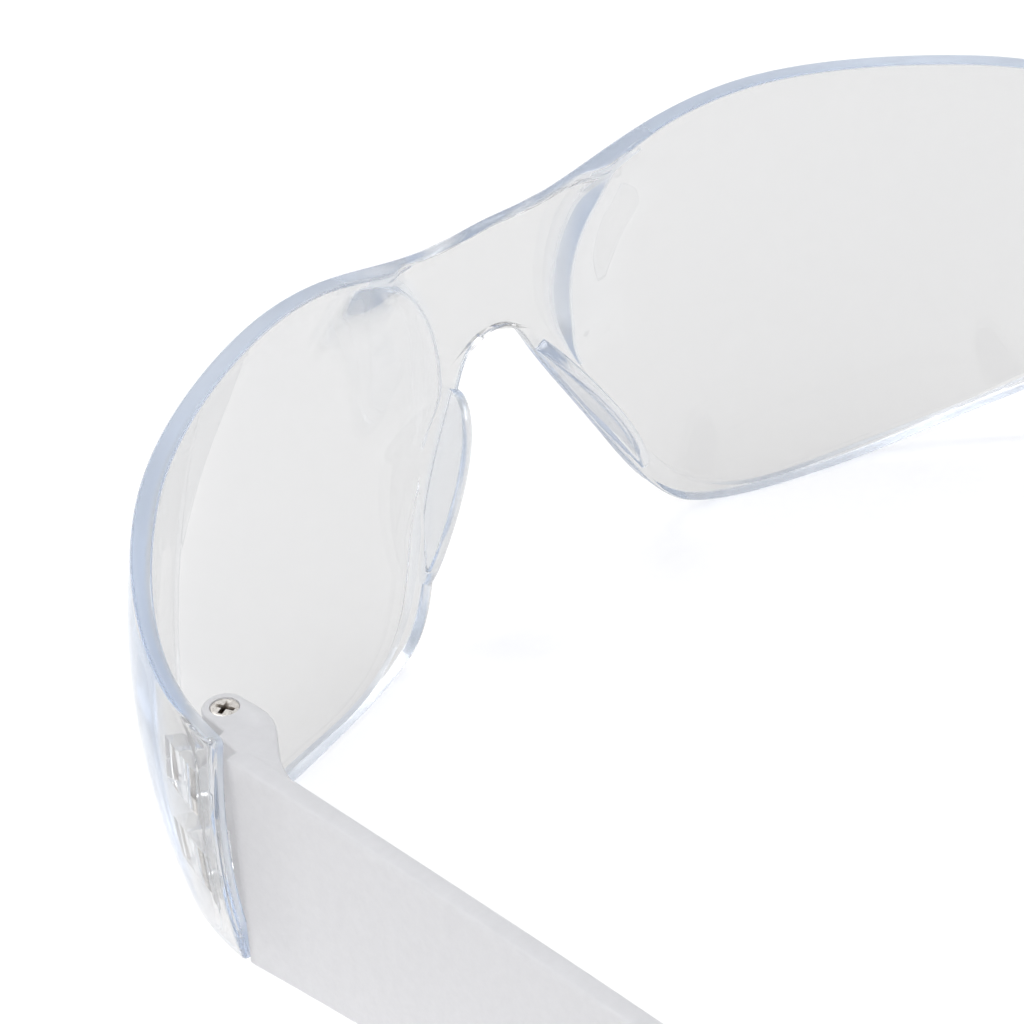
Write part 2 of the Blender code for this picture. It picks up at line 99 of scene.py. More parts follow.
# Outline of a half visor (s, z) and the edge of its thinner lens area.
TOP = [(0, 41.3), (6.5, 41.1), (13, 42.1), (20.5, 44.15), (31, 45.75), (42, 45.25), (53, 44.1),
       (63.5, 43.0), (74, 40.9), (84, 39.3), (92.5, 39.1)]
BOTTOM = [(92.5, 15.0), (76, 10.6), (66, 6.6), (56, 3.3), (45.5, 0.95), (34.5, 0), (26.5, 0.3), (20, 1.8)]
NOSE_ARCH = [(20, 1.8), (16, 4.85), (12.4, 10.65), (8.6, 17.45), (4.5, 24.9), (2.6, 27.6), (0, 28.25)]
TOP_TURN = 3                # number of the point of TOP where the lens's own top edge begins
CORNER = 0.8                # corner radius at the rear end of a wing
LENS_NOSE = [(19.6, 4.9), (15.0, 11.4), (11.3, 18.4), (8.8, 25.0), (8.6, 30.4), (10.2, 36.0), (14.2, 40.8)]
LENS_TOP_S = (20, 30, 42, 54, 66, 76)       # places along the top and the lower rim
LENS_LOW_S = (74, 62, 50, 38, 27)
LENS_WING = [(89.4, 36.2), (90.4, 27.0), (89.4, 17.2)]
LENS_CENTRE = (40.0, 23.0)
LENS_STOPS = (0, 1, 7, 9, 15, 18, 21)       # numbers of the points of its edge where a stretch ends
LEG_END = (-0.92, 0.39)     # direction (s, z) in which the lower edge turns into the arch leg

# Nose pads.
PAD_FROM, PAD_TO = 0.205, 0.775     # stretch of the arch leg that carries the pad, from its top
PAD_ROOT, PAD_DEPTH, PAD_T = 1.6, 4.8, 1.5
PAD_FLARE = (0.05, 0.9)     # lean of its free edge at the upper and the lower end
PAD_START, PAD_OFFSET = 1.0, 0.12   # depth of its root in the visor, distance from the arch edge
PAD_ROUNDING = 0.6          # of its free edge
PAD_SWELL = (0.01, 0.94)    # part of a half wave that its depth follows from end to end
PAD_SKEW, PAD_FULLNESS = 0.8, 0.6   # below 1: fullest nearer the upper end, and blunter ends
PAD_SAMPLES = 240

# Hinges and their screws, placed by the frame's joints.
AXIS = {j["name"]: Vector(j["pos_m"]) / MM for j in frame["joints"]}
CENTRE_Y = 78.81
AXIS_X, AXIS_Y = AXIS["fold_left"].x, AXIS["fold_left"].y + CENTRE_Y
KNUCKLE_R = 2.0
BLOCK_TOP, BLOCK_BOTTOM = AXIS["fold_left"].z, 17.6
LUGS = ((29.6, 34.2), (21.0, 25.6))     # height ranges of the visor's two lugs on each side
LUG_EDGE = 0.2
GAP = 0.3
CUT = 1.0                   # how far a cutter stands out of what it cuts
BORE_R = 1.2
SCREW_R, SCREW_HEAD_R, SCREW_HEAD_H = 0.9, 1.28, 0.75
COUNTERBORE_R, COUNTERBORE_DEPTH = 1.32, 1.2
HEAD_ROUNDING, HEAD_DOME = 0.12, 0.03
HEAD_SUNK = 0.05            # top of the screw head below the top of the block
CROSS_ARM, CROSS_HALF, RECESS_DEPTH = 1.0, 0.23, 0.6     # recess for a cross-head driver
CROSS_TURN = math.radians(25)
CROSS_SCALES = (0.45, 1.12)     # at the recess's bottom and at the cutter's top
SCREW_TIP = 18.4
TIP_CHAMFER = ((0.35, 0.0), (0.6, 0.12))    # radius and height above the tip
THREAD_FROM, THREAD_LENGTH = 0.4, 8.0       # start above the tip
THREAD_PITCH, THREAD_DEPTH = 0.4, 0.16
LUG_ROOT_DEPTH = 0.8        # how far below the wing's outer skin a lug's root ends
LUG_ROOT = (83.5, 90.0)     # stretch of the wing that carries the lugs

# Temples.
TEMPLE_FRONT_X, TEMPLE_FRONT_Y = 67.25, 46.7
TEMPLE_T = 2.1
TEMPLE_YAW = math.radians(1.0)
TEMPLE_STRAIGHT, TEMPLE_BEND_R = 50.0, 330.0
TEMPLE_TOP = [(0, 37.5), (25, 37.9), (50, 38.0), (64, 37.2), (77, 34.2), (90, 28.8), (100.5, 21.8),
              (107.6, 14.2), (111.2, 7.2), (109.6, 1.4)]
TEMPLE_BOTTOM = [(0, 15.05), (15, 16.9), (35, 18.7), (54, 19.6), (68, 18.0), (80, 13.2), (90, 6.6),
                 (99.0, 0.0)]
TEMPLE_TIP = 7              # number of the point of TEMPLE_TOP where the rounded tip begins
REST_END = 107.6            # rear end of the flat stretch under the tip, which rests on the floor
BLADE_EDGE, FRONT_EDGE = 0.35, 0.25
BLOCK_EDGE = 0.25
BLOCK_INNER = [(61.9, 41.1), (61.8, 44.2), (62.2, 45.8), (63.1, 47.3), (64.4, 49.1), (65.5, 51.1),
               (66.3, 53.4)]
BLOCK_OUTER = [(67.0, 53.6), (67.1, 47.4), (66.9, 43.9), (66.0, 43.6)]
SLOT_IN, SLOT_OUT = 5.0, 3.4    # reach of a lug slot on both sides of the hinge axis
SLOT_CLEAR = 0.4            # between a lug's round end and the back of its slot

# Camera: it looks at the target from this azimuth (from -Y towards +X) and elevation.
CAMERA_AZIMUTH, CAMERA_ELEVATION, CAMERA_ROLL = map(math.radians, (141.12, 34.50, -4.18))
CAMERA_TARGET, CAMERA_DISTANCE = (10.61, -63.27, 18.59), 417.05
CAMERA_LENS = 150.63

FLOOR_GAP = 0.00005         # metres between the floor and what stands on it

# Fineness of the meshes.
STEP = 0.4                  # distance between the points of the visor's outline
ARC = 4                     # segments of a rounded edge
EDGE_ROWS = 7               # rows of points that stand for the visor's edge when it is marked
RIM_SHARES = np.linspace(0, 1, 7)           # rings across the rim, the wall and the lens
WALL_SHARES = (0.06, 0.12, 0.2, 0.35, 0.5, 0.65, 0.8, 0.88, 0.94, 1)
LENS_SHARES = np.linspace(0.02, 0.96, 24)
SEAM_POINTS = 24            # across the bridge, where the halves meet
PAD_SECTIONS = 64
BLADE_STATIONS, TIP_STATIONS = 110, 34
SCREW_SIDES, THREAD_ROWS = 48, 130


# ---------------------------------------------------------------- curves

def smooth_curve(points, closed=False, start=None, end=None):
    """Tangents of a smooth cubic through the points; free ends unless a direction is given."""
    p = np.array(points, float)
    if closed:
        p = np.vstack([p, p[:1]])
    chord = np.linalg.norm(np.diff(p, axis=0), axis=1)
    n = len(p)
    a = np.zeros((n, n))
    rhs = np.zeros_like(p)
    for i in range(1, n - 1):
        a[i, i - 1:i + 2] = chord[i], 2 * (chord[i - 1] + chord[i]), chord[i - 1]
        rhs[i] = 3 * (chord[i] * (p[i] - p[i - 1]) / chord[i - 1]
                      + chord[i - 1] * (p[i + 1] - p[i]) / chord[i])
    if closed:
        a[0, 0], a[0, -1] = 1, -1
        a[-1, 0:2] = 2 * chord[-1], chord[-1]
        a[-1, -2:] = a[-1, -2:] + (chord[0], 2 * chord[0])
        rhs[-1] = 3 * (chord[-1] * (p[1] - p[0]) / chord[0] + chord[0] * (p[-1] - p[-2]) / chord[-1])
    else:
        a[0, 0:2] = (2, 1) if start is None else (1, 0)
        rhs[0] = 3 * (p[1] - p[0]) / chord[0] if start is None else start
        a[-1, -2:] = (1, 2) if end is None else (0, 1)
        rhs[-1] = 3 * (p[-1] - p[-2]) / chord[-1] if end is None else end
    return p, np.linalg.solve(a, rhs), chord


def sample(curve, first, last, count):
    """Points evenly along the curve between two of its given points, by their numbers."""
    p, tangent, chord = curve
    knots = np.concatenate([[0], np.cumsum(chord)])
    u = np.linspace(knots[first], knots[last], count)
    i = np.clip(np.searchsorted(knots, u, side="right") - 1, 0, len(chord) - 1)
    h = chord[i][:, None]
    f = (u[:, None] - knots[i][:, None]) / h
    return ((2 * f**3 - 3 * f**2 + 1) * p[i] + (f**3 - 2 * f**2 + f) * h * tangent[i]
            + (3 * f**2 - 2 * f**3) * p[i + 1] + (f**3 - f**2) * h * tangent[i + 1])


def whole(points, count, **ends):
    return sample(smooth_curve(points, **ends), 0, len(points) - 1, count)


def span(points, first=0, last=None):
    """How many points a stretch takes at the outline's step."""
    p = np.array(points[first:None if last is None else last + 1], float)
    return int(np.linalg.norm(np.diff(p, axis=0), axis=1).sum() / STEP) + 1


def ease(x):
    x = np.clip(x, 0, 1)
    return x * x * (3 - 2 * x)


def change(s, stretch):
    """Share of a change that begins at a place along the skin and takes a given length."""
    begin, length = stretch
    return ease((s - begin) / length)


def plan_curve(steps=4000):
    """Places and heading along the front skin, from its curvature."""
    s = np.linspace(0, HALF_SKIN + 8, steps)
    curvature = np.full(steps, CURVATURES[0])
    for (place, width), before, after in zip(CURVATURE_CHANGES, CURVATURES, CURVATURES[1:]):
        curvature += (after - before) * 0.5 * (1 + np.tanh((s - place) / width))
    ds = s[1] - s[0]
    heading = np.concatenate([[0], np.cumsum((curvature[1:] + curvature[:-1]) / 2 * ds)])
    middle = (heading[1:] + heading[:-1]) / 2
    x = np.concatenate([[0], np.cumsum(np.cos(middle) * ds)])
    y = np.concatenate([[0], np.cumsum(np.sin(middle) * ds)])
    return s, x, y, heading


PLAN = plan_curve()


def skin(s, z, depth):
    """Points at distance s along the left half, height z, depth behind the skin."""
    s, z, depth = np.broadcast_arrays(np.asarray(s, float), z, depth)
    x = np.interp(s, PLAN[0], PLAN[1])
    y = np.interp(s, PLAN[0], PLAN[2])
    heading = np.interp(s, PLAN[0], PLAN[3])
    inward = (z - PROFILE_HEIGHT)**2 / (2 * PROFILE_RADIUS) + depth
    return np.stack([x - np.sin(heading) * inward, y + np.cos(heading) * inward, z], -1)


# ---------------------------------------------------------------- mesh helpers

def to_world(points):
    return (np.asarray(points) - (0, CENTRE_Y, 0)) * MM


def mesh_object(name, points, faces, side=1):
    """One closed mesh from points in mm, mirrored to the other side when side is -1."""
    points = to_world(points) * (side, 1, 1)
    mesh = bpy.data.meshes.new(name)
    mesh.from_pydata(points.tolist(), [], [list(f) for f in faces])
    bm = bmesh.new()
    bm.from_mesh(mesh)
    bmesh.ops.remove_doubles(bm, verts=bm.verts, dist=1e-7)
    bmesh.ops.recalc_face_normals(bm, faces=bm.faces)
    bm.to_mesh(mesh)
    bm.free()
    obj = bpy.data.objects.new(name, mesh)
    bpy.context.collection.objects.link(obj)
    return obj


def strip(a, b, closed):
    """Quads between two equally long rows of vertex numbers."""
    count = len(a)
    last = count if closed else count - 1
    return [(a[i], a[(i + 1) % count], b[(i + 1) % count], b[i]) for i in range(last)]


def arc(radius):
    """Inset and rise of a rounded edge, from its flat face to its side."""
    angles = np.linspace(0, math.pi / 2, ARC + 1)
    return [(radius * (1 - math.sin(a)), radius * (1 - math.cos(a))) for a in angles]


def inset_outline(outline, distance):
    """A closed plan outline moved inwards by a small distance."""
    p = np.array(outline, float)
    before, after = p - np.roll(p, 1, 0), np.roll(p, -1, 0) - p
    before /= np.linalg.norm(before, axis=1)[:, None]
    after /= np.linalg.norm(after, axis=1)[:, None]
    along = before + after
    along /= np.linalg.norm(along, axis=1)[:, None]
    area = np.sum(p[:, 0] * np.roll(p[:, 1], -1) - np.roll(p[:, 0], -1) * p[:, 1])
    normal = np.stack([-along[:, 1], along[:, 0]], -1) * np.sign(area)
    share = np.clip(np.sum(along * after, axis=1), 0.5, 1)
    return p + normal * (distance / share)[:, None]


def prism(name, outline, low, high, side=1, edge=0.0):
    """A plan outline extruded between two heights, with rounded edges if edge is set."""
    if edge:
        ends = arc(edge)
        levels = [(inset, low + rise) for inset, rise in ends] + [(i, high - r) for i, r in ends[::-1]]
    else:
        levels = [(0, low), (0, high)]
    n = len(outline)
    points, faces = [], []
    for k, (inset, z) in enumerate(levels):
        ring = inset_outline(outline, inset) if inset else outline
        points += [(x, y, z) for x, y in ring]
        if k:
            faces += strip(range((k - 1) * n, k * n), range(k * n, (k + 1) * n), True)
    faces += [range(n), range((len(levels) - 1) * n, len(levels) * n)]
    return mesh_object(name, points, faces, side)


def circle(radius, count=64, start=0.0, turn=2 * math.pi):
    full = abs(turn - 2 * math.pi) < 1e-6
    steps = count if full else count - 1
    angles = [start + turn * i / steps for i in range(count)]
    return [(AXIS_X + radius * math.cos(a), AXIS_Y + radius * math.sin(a)) for a in angles]


def boolean(target, tool, operation):
    """Apply one exact Boolean and remove the tool."""
    modifier = target.modifiers.new(operation.lower(), "BOOLEAN")
    modifier.operation = operation
    modifier.solver = "EXACT"
    modifier.object = tool
    graph = bpy.context.evaluated_depsgraph_get()
    mesh = bpy.data.meshes.new_from_object(target.evaluated_get(graph))
    target.modifiers.remove(modifier)
    target.data = mesh
    bpy.data.objects.remove(tool)


def finish_piece(obj, name, body, slot, mat, sharp=38):
    """Shade a piece and hand it to the frame in place of the CAD node of the same name."""
    obj.name = obj.data.name = name + "_moulding" if slot != "screw_steel" else name + "_turned"
    obj.data.materials.clear()
    obj.data.materials.append(mat)
    obj.data.shade_smooth()
    obj.data.set_sharp_from_angle(angle=math.radians(sharp))
    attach(obj, body)
    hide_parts(name)


# ---------------------------------------------------------------- visor

def rim_thickness(s):
    """Thin at the bridge, thickest beside it, thinner again towards the wing."""
    nose = BRIDGE_T + (SHOULDER_T - BRIDGE_T) * change(s, SHOULDER_RISE)
    nose = nose + (RIM_T - SHOULDER_T) * change(s, SHOULDER_FALL)
    return nose + (WING_T - RIM_T) * change(s, WING_THINS)


def lens_thickness(s):
    return LENS_T + (LENS_WING_T - LENS_T) * change(s, WING_THINS)


def half_outline():
    """Outline of the left half from the top centre round to the arch, and its inward normals."""
    curve = smooth_curve(TOP, start=(1, 0))
    top_nose = sample(curve, 0, TOP_TURN, span(TOP, 0, TOP_TURN))
    top = sample(curve, TOP_TURN, len(TOP) - 1, span(TOP, TOP_TURN))
    bottom = whole(BOTTOM, span(BOTTOM), end=LEG_END)
    leg = whole(NOSE_ARCH, span(NOSE_ARCH), start=LEG_END, end=(-1, 0))
    rear = []
    for height, start in ((TOP[-1][1] - CORNER, 90), (BOTTOM[0][1] + CORNER, 0)):
        for angle in np.radians(np.linspace(start, start - 90, 9)):
            rear.append((HALF_SKIN - CORNER + CORNER * math.cos(angle), height + CORNER * math.sin(angle)))
    between = np.linspace(rear[8], rear[9], span(rear, 8, 9))[1:-1]
    outline = np.vstack([top_nose[:-1], top[:-1], rear[:9], between, rear[9:], bottom[1:], leg[1:]])
    tangent = np.gradient(outline, axis=0)
    tangent[0], tangent[-1] = (1, 0), (-1, 0)
    tangent /= np.linalg.norm(tangent, axis=1)[:, None]
    normal = np.stack([tangent[:, 1], -tangent[:, 0]], -1)
    counts = (len(top_nose) - 1, len(top) - 1, len(rear) + len(between) - 1, len(bottom) - 1, len(leg) - 1)
    return outline, normal, counts


def lens_edge(outline, counts, seam):
    """Closed edge of the lens area, with as many points as the outline and the seam."""
    ends = np.cumsum(counts)
    top_rim = [(s, np.interp(s, *outline[:ends[1]].T) - RIM_WIDTH) for s in LENS_TOP_S]
    low = outline[ends[2]:ends[3] + 1][::-1]
    low_rim = [(s, np.interp(s, *low.T) + RIM_WIDTH) for s in LENS_LOW_S]
    points = [LENS_NOSE[-1]] + top_rim + LENS_WING + low_rim + LENS_NOSE[:-1]
    curve = smooth_curve(points, closed=True)
    stretches = zip(LENS_STOPS, LENS_STOPS[1:], (*counts, seam + 1))
    pieces = [sample(curve, a, b, n + 1)[:-1] for a, b, n in stretches]
    return np.vstack(pieces)


def wall_rise(u, rounding=0.16):
    """Share of the step from rim to lens at share u across it, with rounded ends."""
    u = np.asarray(u, float)
    flat = 1 - rounding
    low = u**2 / (2 * rounding * flat)
    high = 1 - (1 - u)**2 / (2 * rounding * flat)
    return np.where(u < rounding, low, np.where(u > flat, high, (u - rounding / 2) / flat))


def shell_rings(outline, normal, counts):
    """Rings from the visor's edge to the lens centre: (s, z) places, share of the step down, extra."""
    edge = lens_edge(outline, counts, SEAM_POINTS)
    inset = outline + EDGE * normal
    seam = np.linspace(inset[-1], inset[0], SEAM_POINTS + 2)[1:-1]
    loop = np.vstack([inset, seam])
    nose = ease((NOSE_REACH - np.linalg.norm(edge - NOSE_PLACE, axis=1)) / NOSE_BLEND)
    wall = WALL_MIN + (WALL_NOSE - WALL_MIN) * nose
    across = np.linalg.norm(loop - edge, axis=1)
    rim_edge = edge + (loop - edge) * np.minimum(WALL_SHARE, wall / across)[:, None]
    rings = [(loop + (rim_edge - loop) * f, 0.0, 0.0) for f in RIM_SHARES]
    rings += [(rim_edge + (edge - rim_edge) * u, float(wall_rise(u)), LENS_NOSE_EXTRA * nose)
              for u in WALL_SHARES]
    reach = np.linalg.norm(np.array(LENS_CENTRE) - edge, axis=1)
    for f in LENS_SHARES:
        extra = LENS_NOSE_EXTRA * nose * (1 - ease(reach * f / LENS_NOSE_FADE))
        rings.append((edge + (np.array(LENS_CENTRE) - edge) * f, 1.0, extra))
    return rings


def back_depth(ring, drop, extra):
    """Depth of the visor's back at a ring, stepping from the rim's thickness to the lens's."""
    rim, lens = rim_thickness(ring[:, 0]), lens_thickness(ring[:, 0]) + extra
    return rim + (lens - rim) * drop


def half_shell():
    """Points and faces of the left half of the visor's shell, open along the middle."""
    outline, normal, counts = half_outline()
    rings = shell_rings(outline, normal, counts)
    points, faces, layers = [], [], []
    for back in (False, True):
        rows = []
        for ring, drop, extra in rings:
            rows.append(range(len(points), len(points) + len(ring)))
            points.extend(skin(ring[:, 0], ring[:, 1], back_depth(ring, drop, extra) if back else 0))
        for a, b in zip(rows, rows[1:]):
            faces += strip(a, b, True)
        points.append(skin(*LENS_CENTRE, LENS_T if back else 0))
        centre = len(points) - 1
        last = rows[-1]
        faces += [(last[i], last[(i + 1) % len(last)], centre) for i in range(len(last))]
        layers.append(rows[0][:len(outline)])
    thick = rim_thickness(outline[:, 0])
    rounded = arc(EDGE)[1:]
    sides = [(i, r) for i, r in rounded] + [(0, EDGE + (thick - 2 * EDGE) * f) for f in (0.33, 0.67)]
    sides += [(i, thick - r) for i, r in rounded[::-1]]
    rows = [layers[0]]
    for inward, depth in sides:
        rows.append(range(len(points), len(points) + len(outline)))
        ring = outline + inward * normal
        points.extend(skin(ring[:, 0], ring[:, 1], depth))
    rows.append(layers[1])
    for a, b in zip(rows, rows[1:]):
        faces += strip(a, b, False)
    return np.array(points), faces


def visor_shell():
    points, faces = half_shell()
    mirrored = points * (-1, 1, 1)
    count = len(points)
    faces = faces + [tuple(i + count for i in reversed(face)) for face in faces]
    return mesh_object("visor_shell", np.vstack([points, mirrored]), faces)


def pad_section(depth):
    """Section of a nose pad: (across, back), rooted in the visor, with a rounded free edge."""
    root, low, radius = PAD_START, PAD_OFFSET, PAD_ROUNDING
    points = [(low, root + (depth - radius - root) * f) for f in np.linspace(0, 1, 8)]
    points += [(low + radius - radius * math.cos(a), depth - radius + radius * math.sin(a))
               for a in np.linspace(0, math.pi / 2, 7)[1:]]
    points += [(PAD_T - radius + radius * math.sin(a), depth - radius + radius * math.cos(a))
               for a in np.linspace(0, math.pi / 2, 7)]
    points += [(PAD_T, depth - radius + (root - depth + radius) * f) for f in np.linspace(0, 1, 8)[1:]]
    return points


def pad_rows():
    """Sections of the left nose pad along the arch leg: it flares away from the nose."""
    leg = whole(NOSE_ARCH, PAD_SAMPLES, start=LEG_END, end=(-1, 0))[::-1]
    stretch = leg[int(PAD_FROM * PAD_SAMPLES):int(PAD_TO * PAD_SAMPLES)]
    run = np.concatenate([[0], np.cumsum(np.linalg.norm(np.diff(stretch, axis=0), axis=1))])
    tangent = np.gradient(stretch, axis=0)
    tangent /= np.linalg.norm(tangent, axis=1)[:, None]
    to_lens = np.stack([-tangent[:, 1], tangent[:, 0]], -1)
    (swell, grow), rows = PAD_SWELL, []
    for u in (1 - np.cos(np.linspace(0, math.pi, PAD_SECTIONS))) / 2:
        at = u * run[-1]
        place = np.array([np.interp(at, run, stretch[:, i]) for i in (0, 1)])
        inward = np.array([np.interp(at, run, to_lens[:, i]) for i in (0, 1)])
        wave = math.sin(math.pi * (swell + grow * u**PAD_SKEW))
        depth = PAD_ROOT + PAD_DEPTH * wave**PAD_FULLNESS
        across, back = np.array(pad_section(depth)).T
        flare = np.interp(u, (0, 1), PAD_FLARE) * (back - PAD_START) / PAD_DEPTH
        s, z = place[:, None] + inward[:, None] * (across + flare)
        rows.append(skin(s, z, back))
    return rows


def nose_pad(side):
    """Flange behind an arch leg, rooted in the visor."""
    sections = pad_rows()
    count = len(sections[0])
    rows = [range(i * count, (i + 1) * count) for i in range(len(sections))]
    faces = [face for a, b in zip(rows, rows[1:]) for face in strip(a, b, True)]
    faces += [rows[0], rows[-1]]
    return mesh_object("nose_pad", np.vstack(sections), faces, side)


def hinge_lug(low, high, side):
    """Lug from the wing's inside to the hinge axis, round about the axis."""
    middle = (low + high) / 2
    outline = circle(KNUCKLE_R, 40, math.radians(90), math.radians(180))
    root = [skin(s, middle, LUG_ROOT_DEPTH)[:2] for s in np.linspace(*LUG_ROOT, 12)]
    outline = outline + [tuple(p) for p in root]
    return prism("lug", outline, low, high, side, edge=LUG_EDGE)


def span_of(counts, first, last):
    """Part of the outline that some of its stretches take, by their numbers."""
    return slice(sum(counts[:first]), sum(counts[:last]))


def unpolished_places():
    """Places of the left half that are not polished, each with its share of the full roughness."""
    outline, normal, counts = half_outline()
    places = []
    for ring, drop, extra in shell_rings(outline, normal, counts):
        rough = np.broadcast_to(extra, len(ring)) > WALL_MARKED
        if drop == 0:
            rough = np.linalg.norm(ring - NOSE_TOP, axis=1) < NOSE_TOP_REACH
        if drop < 1:
            places += [(p, 1.0) for p in skin(ring[:, 0], ring[:, 1], back_depth(ring, drop, extra))[rough]]
    nose, rear, leg = span_of(counts, 0, 1), span_of(counts, 2, 3), span_of(counts, 4, 5)
    stretches = ((nose, 0.0, NOSE_MARKED), (span_of(counts, 1, 2), 0.0, 1.0), (rear, REAR_MARKED, 1.0),
                 (span_of(counts, 3, 4), 0.0, 1.0), (leg, 0.0, NOSE_MARKED))
    for stretch, start, share in stretches:
        s, z = outline[stretch].T
        thick = rim_thickness(s)
        for f in np.linspace(start, 1, EDGE_ROWS):
            places += [(p, share) for p in skin(s, z, EDGE + (thick - 2 * EDGE) * f)]
    for section in pad_rows():
        places += [(p, PAD_MARKED) for p in section]
    return places


def off_axis(place):
    """Distance in millimetres of a place from the nearer hinge axis."""
    return math.hypot(abs(place.x) / MM - AXIS_X, place.y / MM + CENTRE_Y - AXIS_Y)


def mark_edges(visor):
    """Store how far each point belongs to the unpolished faces, from 0 to 1, and which are on lugs, whose
    tone is painted lighter.
    """
    places = unpolished_places()
    tree = KDTree(2 * len(places))
    for i, (place, _) in enumerate(places):
        for k, (_, side) in enumerate(SIDES):
            tree.insert(to_world(place) * (side, 1, 1), 2 * i + k)
    tree.balance()
    for name in ("edge", "lug"):
        visor.data.attributes.new(name, "FLOAT", "POINT")
    edges, lugs = visor.data.attributes["edge"].data, visor.data.attributes["lug"].data
    for vertex in visor.data.vertices:
        _, index, distance = tree.find(vertex.co)
        share = places[index // 2][1] * (1 - float(ease((distance / MM - MARK_NEAR) / MARK_FADE)))
        if off_axis(vertex.co) < LUG_REACH:
            share = max(share, LUG_MARKED)
            lugs[vertex.index].value = 1.0
        edges[vertex.index].value = share


def build_visor(mat):
    visor = visor_shell()
    for _, side in SIDES:
        boolean(visor, nose_pad(side), "UNION")
        for low, high in LUGS:
            boolean(visor, hinge_lug(low, high, side), "UNION")
        bore = prism("bore", circle(BORE_R), LUGS[1][0] - CUT, LUGS[0][1] + CUT, side)
        boolean(visor, bore, "DIFFERENCE")
    mark_edges(visor)
    finish_piece(visor, "visor", "visor", "clear_polycarbonate", mat)


# ---------------------------------------------------------------- temples

def temple_path(t, across):
    """Plan place at distance t behind the shoulder, across the blade towards the outside."""
    bend = np.maximum(t - TEMPLE_STRAIGHT, 0)
    heading = TEMPLE_YAW + bend / TEMPLE_BEND_R
    x = TEMPLE_FRONT_X - t * math.sin(TEMPLE_YAW) - bend**2 / (2 * TEMPLE_BEND_R)
    y = TEMPLE_FRONT_Y + t * math.cos(TEMPLE_YAW) - bend**3 / (6 * TEMPLE_BEND_R**2)
    return x + across * np.cos(heading), y + across * np.sin(heading)


def blade_section(top, low, inset):
    """Rounded section of the blade between its top and lower edge points."""
    half, length = TEMPLE_T / 2 - inset, math.hypot(*(top - low))
    first, last = inset, length - inset
    corners = ((half, first, -90), (half, last, 0), (-half, last, 90), (-half, first, 180))
    points = []
    for across, along, start in corners:
        ax = across - math.copysign(BLADE_EDGE, across)
        al = along + (BLADE_EDGE if along == first else -BLADE_EDGE)
        for angle in np.radians(np.linspace(start, start + 90, ARC + 1)):
            place = low + (top - low) * (al + BLADE_EDGE * math.sin(angle)) / length
            x, y = temple_path(place[0], ax + BLADE_EDGE * math.cos(angle))
            points.append((x, y, place[1]))
    return points


def blade(side):
    """Blade lofted from the shoulder to the rounded tip."""
    curve = smooth_curve(TEMPLE_TOP)
    tip = sample(curve, TEMPLE_TIP, len(TEMPLE_TOP) - 1, TIP_STATIONS)
    top = np.vstack([sample(curve, 0, TEMPLE_TIP, BLADE_STATIONS), tip[1:]])
    rest = np.linspace(TEMPLE_BOTTOM[-1], (REST_END, 0), TIP_STATIONS)
    low = np.vstack([whole(TEMPLE_BOTTOM, BLADE_STATIONS), rest[1:]])
    rows, points = [], []
    ends = [(top[0] + (rise, 0), low[0] + (rise, 0), inset) for inset, rise in arc(FRONT_EDGE)[:-1]]
    ends += [(a, b, 0) for a, b in zip(top[1:], low[1:])]
    for a, b, inset in ends:
        section = blade_section(a, b, inset)
        rows.append(range(len(points), len(points) + len(section)))
        points.extend(section)
    faces = [face for a, b in zip(rows, rows[1:]) for face in strip(a, b, True)]
    faces += [rows[0], rows[-1]]
    return mesh_object("blade", points, faces, side)


def hinge_block(side):
    """Inboard block: knuckle round the axis, and a swept fillet into the blade."""
    inner = whole(BLOCK_INNER, 40, start=(0, 1))
    knuckle = circle(KNUCKLE_R, 40, 0.0, -math.pi)
    outline = knuckle[:-1] + [tuple(p) for p in inner] + BLOCK_OUTER
    return prism("block", outline, BLOCK_BOTTOM, BLOCK_TOP, side, edge=BLOCK_EDGE)


def build_temple(label, side, mat):
    temple = blade(side)
    boolean(temple, hinge_block(side), "UNION")
    slot_back = AXIS_Y + KNUCKLE_R + SLOT_CLEAR
    for low, high in LUGS:
        slot = [(AXIS_X - SLOT_IN, AXIS_Y - SLOT_IN), (AXIS_X + SLOT_OUT, AXIS_Y - SLOT_IN),
                (AXIS_X + SLOT_OUT, slot_back), (AXIS_X - SLOT_IN, slot_back)]
        boolean(temple, prism("slot", slot, low - GAP, high + GAP, side), "DIFFERENCE")
    bore = prism("bore", circle(BORE_R), BLOCK_BOTTOM - CUT, BLOCK_TOP + CUT, side)
    boolean(temple, bore, "DIFFERENCE")
    counterbore = prism("counterbore", circle(COUNTERBORE_R), BLOCK_TOP - COUNTERBORE_DEPTH,
                        BLOCK_TOP + CUT, side)
    boolean(temple, counterbore, "DIFFERENCE")
    name = f"temple_{label}"
    finish_piece(temple, name, name, "frosted_polycarbonate", mat)


# ---------------------------------------------------------------- screws

